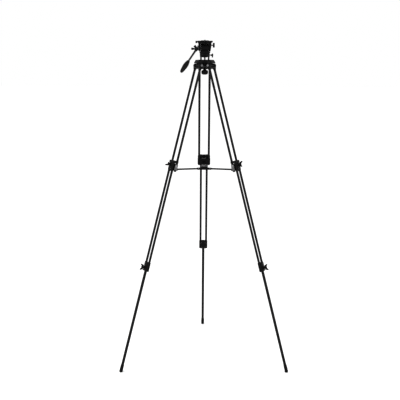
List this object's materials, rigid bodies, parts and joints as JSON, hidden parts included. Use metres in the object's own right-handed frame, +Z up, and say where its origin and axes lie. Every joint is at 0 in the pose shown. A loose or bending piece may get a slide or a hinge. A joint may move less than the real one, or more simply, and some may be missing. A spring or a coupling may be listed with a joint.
{
  "type": "video tripod",
  "caption": "Twin-tube three-stage video tripod with mid-level spreader, levelling bowl, fluid pan and tilt head, sliding quick-release plate and pan handle.",
  "frame": {"origin": "the point on the floor on the tripod's upright axis, under the middle of the head", "axes": "+Z up; -Y is the front, where the camera on the head looks and between the left and right legs; the rear leg stands along +Y; +X is the right side seen from the front view along +Y"},
  "size_m": [0.904, 0.7852, 1.7555],
  "materials": {
    "tube_paint": "satin black anodised tube",
    "casting": "fine textured black powder coat",
    "moulded": "moulded nylon, fine grain",
    "knob": "soft touch moulding",
    "rubber": "moulded rubber",
    "steel": "turned steel",
    "dark_steel": "blackened steel",
    "brass": "friction disc",
    "vial": "bubble vial"
  },
  "bodies": {
    "crown": {"crown_casting": "casting", "leg_pivot_bolts": "dark_steel", "crown_level": "vial"},
    "leg_left": {"leg_left_yoke": "casting", "leg_left_upper_tubes": "tube_paint", "leg_left_mid_collar": "moulded"},
    "leg_left_second": {"leg_left_slide_bridge": "moulded", "leg_left_second_tubes": "tube_paint", "leg_left_lower_collar": "moulded"},
    "leg_left_third": {"leg_left_third_tube": "tube_paint", "leg_left_foot": "rubber"},
    "leg_left_mid_knob": {"leg_left_mid_lock": "knob"},
    "leg_left_lower_knob": {"leg_left_lower_lock": "knob"},
    "arm_left": {"spreader_arm_left": "tube_paint"},
    "leg_right": {"leg_right_yoke": "casting", "leg_right_upper_tubes": "tube_paint", "leg_right_mid_collar": "moulded"},
    "leg_right_second": {"leg_right_slide_bridge": "moulded", "leg_right_second_tubes": "tube_paint", "leg_right_lower_collar": "moulded"},
    "leg_right_third": {"leg_right_third_tube": "tube_paint", "leg_right_foot": "rubber"},
    "leg_right_mid_knob": {"leg_right_mid_lock": "knob"},
    "leg_right_lower_knob": {"leg_right_lower_lock": "knob"},
    "arm_right": {"spreader_arm_right": "tube_paint"},
    "leg_rear": {"leg_rear_yoke": "casting", "leg_rear_upper_tubes": "tube_paint", "leg_rear_mid_collar": "moulded"},
    "leg_rear_second": {"leg_rear_slide_bridge": "moulded", "leg_rear_second_tubes": "tube_paint", "leg_rear_lower_collar": "moulded"},
    "leg_rear_third": {"leg_rear_third_tube": "tube_paint", "leg_rear_foot": "rubber"},
    "leg_rear_mid_knob": {"leg_rear_mid_lock": "knob"},
    "leg_rear_lower_knob": {"leg_rear_lower_lock": "knob"},
    "arm_rear": {"spreader_arm_rear": "tube_paint"},
    "spreader_hub": {"spreader_hub": "moulded", "hub_rivets": "dark_steel"},
    "level_washer": {"spherical_washer": "dark_steel"},
    "level_ball": {"half_ball": "casting", "tie_stud": "dark_steel", "pan_base": "casting"},
    "bowl_clamp": {"bowl_knob": "moulded"},
    "pan_lock": {"pan_lock_knob": "knob"},
    "pan_head": {"pan_housing": "casting", "head_shafts": "steel", "drag_discs": "brass", "counterbalance_spring": "steel"},
    "tilt_head": {"tilt_cradle": "casting", "top_platform": "casting"},
    "tilt_lock": {"tilt_lock_knob": "knob"},
    "quick_plate": {"camera_plate": "casting", "plate_pads": "rubber"},
    "plate_screw": {"camera_screw": "steel"},
    "plate_lock": {"plate_lock_knob": "knob"},
    "catch": {"safety_catch": "knob"},
    "pan_handle": {"handle_socket": "casting", "handle_rod": "tube_paint", "handle_grip": "rubber"},
    "handle_clamp": {"handle_clamp_knob": "knob"}
  },
  "joints": [
    {"name": "leg_left_fold", "type": "hinge", "parent": "crown", "child": "leg_left", "pos_m": [-0.03421, -0.01975, 1.62], "axis": [0.5, -0.866, 0], "range_deg": [0, 15.93]},
    {"name": "leg_left_second_slide", "type": "slide", "parent": "leg_left", "child": "leg_left_second", "axis": [0.2377, 0.1372, 0.9616], "range_m": [0, 0.46]},
    {"name": "leg_left_third_slide", "type": "slide", "parent": "leg_left_second", "child": "leg_left_third", "axis": [0.2377, 0.1372, 0.9616], "range_m": [0, 0.5]},
    {"name": "leg_left_mid_lock_turn", "type": "hinge", "parent": "leg_left", "child": "leg_left_mid_knob", "pos_m": [-0.18041, -0.10416, 1.10142], "axis": [-0.8328, -0.4808, 0.2745], "range_deg": [0, 180]},
    {"name": "leg_left_lower_lock_turn", "type": "hinge", "parent": "leg_left_second", "child": "leg_left_lower_knob", "pos_m": [-0.31537, -0.18208, 0.55834], "axis": [-0.8328, -0.4808, 0.2745], "range_deg": [0, 180]},
    {"name": "arm_left_fold", "type": "hinge", "parent": "leg_left", "child": "arm_left", "pos_m": [-0.15179, -0.08764, 1.07327], "axis": [0.5, -0.866, 0], "range_deg": [0, 83.89]},
    {"name": "leg_right_fold", "type": "hinge", "parent": "crown", "child": "leg_right", "pos_m": [0.03421, -0.01975, 1.62], "axis": [0.5, 0.866, 0], "range_deg": [0, 15.93]},
    {"name": "leg_right_second_slide", "type": "slide", "parent": "leg_right", "child": "leg_right_second", "axis": [-0.2377, 0.1372, 0.9616], "range_m": [0, 0.46]},
    {"name": "leg_right_third_slide", "type": "slide", "parent": "leg_right_second", "child": "leg_right_third", "axis": [-0.2377, 0.1372, 0.9616], "range_m": [0, 0.5]},
    {"name": "leg_right_mid_lock_turn", "type": "hinge", "parent": "leg_right", "child": "leg_right_mid_knob", "pos_m": [0.18041, -0.10416, 1.10142], "axis": [0.8328, -0.4808, 0.2745], "range_deg": [0, 180]},
    {"name": "leg_right_lower_lock_turn", "type": "hinge", "parent": "leg_right_second", "child": "leg_right_lower_knob", "pos_m": [0.31537, -0.18208, 0.55834], "axis": [0.8328, -0.4808, 0.2745], "range_deg": [0, 180]},
    {"name": "arm_right_fold", "type": "hinge", "parent": "leg_right", "child": "arm_right", "pos_m": [0.15179, -0.08764, 1.07327], "axis": [0.5, 0.866, 0], "range_deg": [0, 83.89]},
    {"name": "leg_rear_fold", "type": "hinge", "parent": "crown", "child": "leg_rear", "pos_m": [0, 0.0395, 1.62], "axis": [-1, 0, 0], "range_deg": [0, 15.93]},
    {"name": "leg_rear_second_slide", "type": "slide", "parent": "leg_rear", "child": "leg_rear_second", "axis": [0, -0.2745, 0.9616], "range_m": [0, 0.46]},
    {"name": "leg_rear_third_slide", "type": "slide", "parent": "leg_rear_second", "child": "leg_rear_third", "axis": [0, -0.2745, 0.9616], "range_m": [0, 0.5]},
    {"name": "leg_rear_mid_lock_turn", "type": "hinge", "parent": "leg_rear", "child": "leg_rear_mid_knob", "pos_m": [0, 0.20831, 1.10142], "axis": [0, 0.9616, 0.2745], "range_deg": [0, 180]},
    {"name": "leg_rear_lower_lock_turn", "type": "hinge", "parent": "leg_rear_second", "child": "leg_rear_lower_knob", "pos_m": [0, 0.36416, 0.55834], "axis": [0, 0.9616, 0.2745], "range_deg": [0, 180]},
    {"name": "arm_rear_fold", "type": "hinge", "parent": "leg_rear", "child": "arm_rear", "pos_m": [0, 0.17527, 1.07327], "axis": [-1, 0, 0], "range_deg": [0, 83.89]},
    {"name": "hub_rise", "type": "slide", "parent": "crown", "child": "spreader_hub", "axis": [0, 0, 1], "range_m": [0, 0.1232]},
    {"name": "level_side", "type": "hinge", "parent": "crown", "child": "level_washer", "pos_m": [0, 0, 1.7], "axis": [1, 0, 0], "range_deg": [-5, 5]},
    {"name": "level_forward", "type": "hinge", "parent": "level_washer", "child": "level_ball", "pos_m": [0, 0, 1.7], "axis": [0, 1, 0], "range_deg": [-5, 5]},
    {"name": "bowl_clamp_turn", "type": "hinge", "parent": "level_ball", "child": "bowl_clamp", "pos_m": [0, 0, 1.585], "axis": [0, 0, 1], "range_deg": [0, 360]},
    {"name": "pan_lock_turn", "type": "hinge", "parent": "level_ball", "child": "pan_lock", "pos_m": [0.03, 0, 1.6755], "axis": [1, 0, 0], "range_deg": [-180, 0]},
    {"name": "pan", "type": "hinge", "parent": "level_ball", "child": "pan_head", "pos_m": [0, 0, 1.7], "axis": [0, 0, 1], "continuous": true},
    {"name": "tilt", "type": "hinge", "parent": "pan_head", "child": "tilt_head", "pos_m": [0, 0, 1.712], "axis": [1, 0, 0], "range_deg": [-45, 70]},
    {"name": "tilt_lock_turn", "type": "hinge", "parent": "tilt_head", "child": "tilt_lock", "pos_m": [0.04, 0, 1.727], "axis": [1, 0, 0], "range_deg": [0, 270]},
    {"name": "plate_slide", "type": "slide", "parent": "tilt_head", "child": "quick_plate", "axis": [0, 1, 0], "range_m": [-0.03, 0.03]},
    {"name": "camera_screw_turn", "type": "hinge", "parent": "quick_plate", "child": "plate_screw", "pos_m": [0, 0, 1.75], "axis": [0, 0, 1], "continuous": true},
    {"name": "plate_lock_turn", "type": "hinge", "parent": "tilt_head", "child": "plate_lock", "pos_m": [-0.04, 0, 1.7437], "axis": [1, 0, 0], "range_deg": [0, 270]},
    {"name": "catch_press", "type": "slide", "parent": "tilt_head", "child": "catch", "axis": [-1, 0, 0], "range_m": [0, 0.0025], "stiffness_N_per_m": 600, "springref_m": -0.002},
    {"name": "handle_angle", "type": "hinge", "parent": "tilt_head", "child": "pan_handle", "pos_m": [-0.036, 0, 1.712], "axis": [1, 0, 0], "range_deg": [-20, 60]},
    {"name": "handle_clamp_turn", "type": "hinge", "parent": "pan_handle", "child": "handle_clamp", "pos_m": [-0.06, -0.005, 1.708], "axis": [1, 0, 0], "range_deg": [0, 270]}
  ],
  "couplings": [
    {"joint": "arm_left_fold", "follows": "leg_left_fold", "ratio": 5.2656},
    {"joint": "leg_right_fold", "follows": "leg_left_fold", "ratio": 1},
    {"joint": "arm_right_fold", "follows": "leg_left_fold", "ratio": 5.2656},
    {"joint": "leg_rear_fold", "follows": "leg_left_fold", "ratio": 1},
    {"joint": "arm_rear_fold", "follows": "leg_left_fold", "ratio": 5.2656},
    {"joint": "hub_rise", "follows": "leg_left_fold", "m_per_rad": 0.44248}
  ]
}
